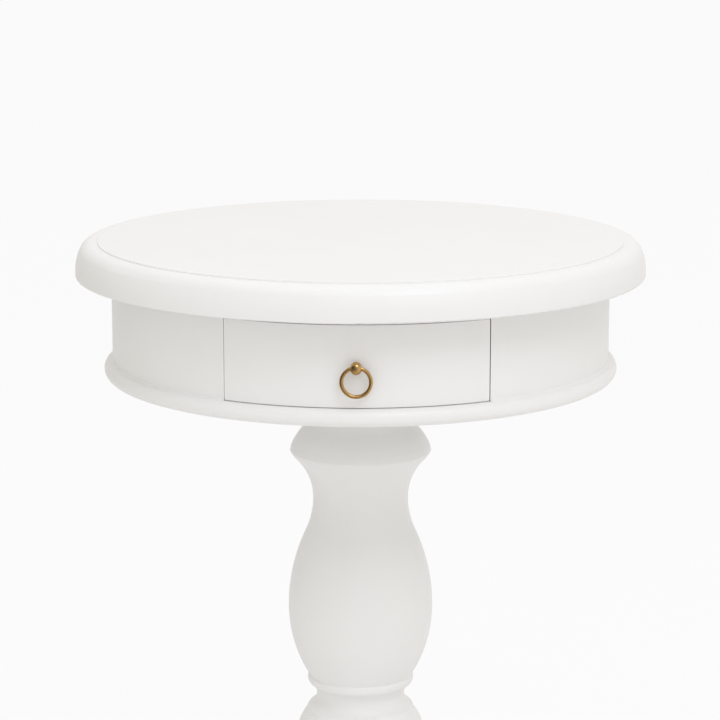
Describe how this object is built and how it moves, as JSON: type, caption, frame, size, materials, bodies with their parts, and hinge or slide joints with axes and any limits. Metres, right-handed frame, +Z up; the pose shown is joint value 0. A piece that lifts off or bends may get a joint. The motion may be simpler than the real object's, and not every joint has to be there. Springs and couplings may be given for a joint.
{
  "type": "side table",
  "caption": "Round pedestal side table with a curved drawer in its drum, a ring pull, a turned column and a round foot.",
  "frame": {"origin": "on the floor, under the middle of the table", "axes": "+Z up along the column, -Y out of the drawer side, +X to the right as one faces the drawer"},
  "size_m": [0.5, 0.5, 0.62],
  "materials": {
    "white_paint": "white satin lacquer over turned wood",
    "raw_pine": "planed and unpainted",
    "birch_ply": "sanded and unpainted",
    "beech": "fluted dowel rod",
    "zinc_steel": "bright zinc plating",
    "antique_brass": "polished, slightly aged",
    "nylon": "moulded glides"
  },
  "bodies": {
    "table": {"tabletop": "white_paint", "apron_wall": "white_paint", "drum_floor": "white_paint", "upper_blocks": "raw_pine", "lower_blocks": "raw_pine", "top_screws": "zinc_steel", "floor_screws": "zinc_steel", "drawer_runner_left": "raw_pine", "drawer_runner_right": "raw_pine", "runner_screws": "zinc_steel", "kicker_left": "raw_pine", "kicker_right": "raw_pine", "kicker_screws": "zinc_steel", "front_stop": "raw_pine", "front_stop_screws": "zinc_steel", "rear_stop": "raw_pine", "rear_stop_screws": "zinc_steel", "mounting_disc": "white_paint", "cap_screws": "zinc_steel", "column": "white_paint", "column_dowels": "beech", "tie_rod": "zinc_steel", "rod_washers": "zinc_steel", "rod_nuts": "zinc_steel", "base_bell": "white_paint", "bell_screws": "zinc_steel", "base_plinth": "white_paint", "foot_pads": "nylon", "pad_screws": "zinc_steel"},
    "drawer": {"drawer_front": "white_paint", "drawer_side_left": "raw_pine", "drawer_side_right": "raw_pine", "drawer_back": "raw_pine", "drawer_bottom": "birch_ply", "front_dowels": "beech", "drawer_back_screws": "zinc_steel", "drawer_panel_screws": "zinc_steel", "pull_post": "antique_brass", "pull_washer": "antique_brass", "pull_nut": "antique_brass"},
    "ring": {"pull_ring": "antique_brass"}
  },
  "joints": [
    {"name": "drawer_slide", "type": "slide", "parent": "table", "child": "drawer", "axis": [0, -1, 0], "range_m": [0, 0.2]},
    {"name": "pull_ring_swing", "type": "hinge", "parent": "drawer", "child": "ring", "pos_m": [0, -0.2252, 0.549], "axis": [-1, 0, 0], "range_deg": [-10.5, 190.5]}
  ]
}
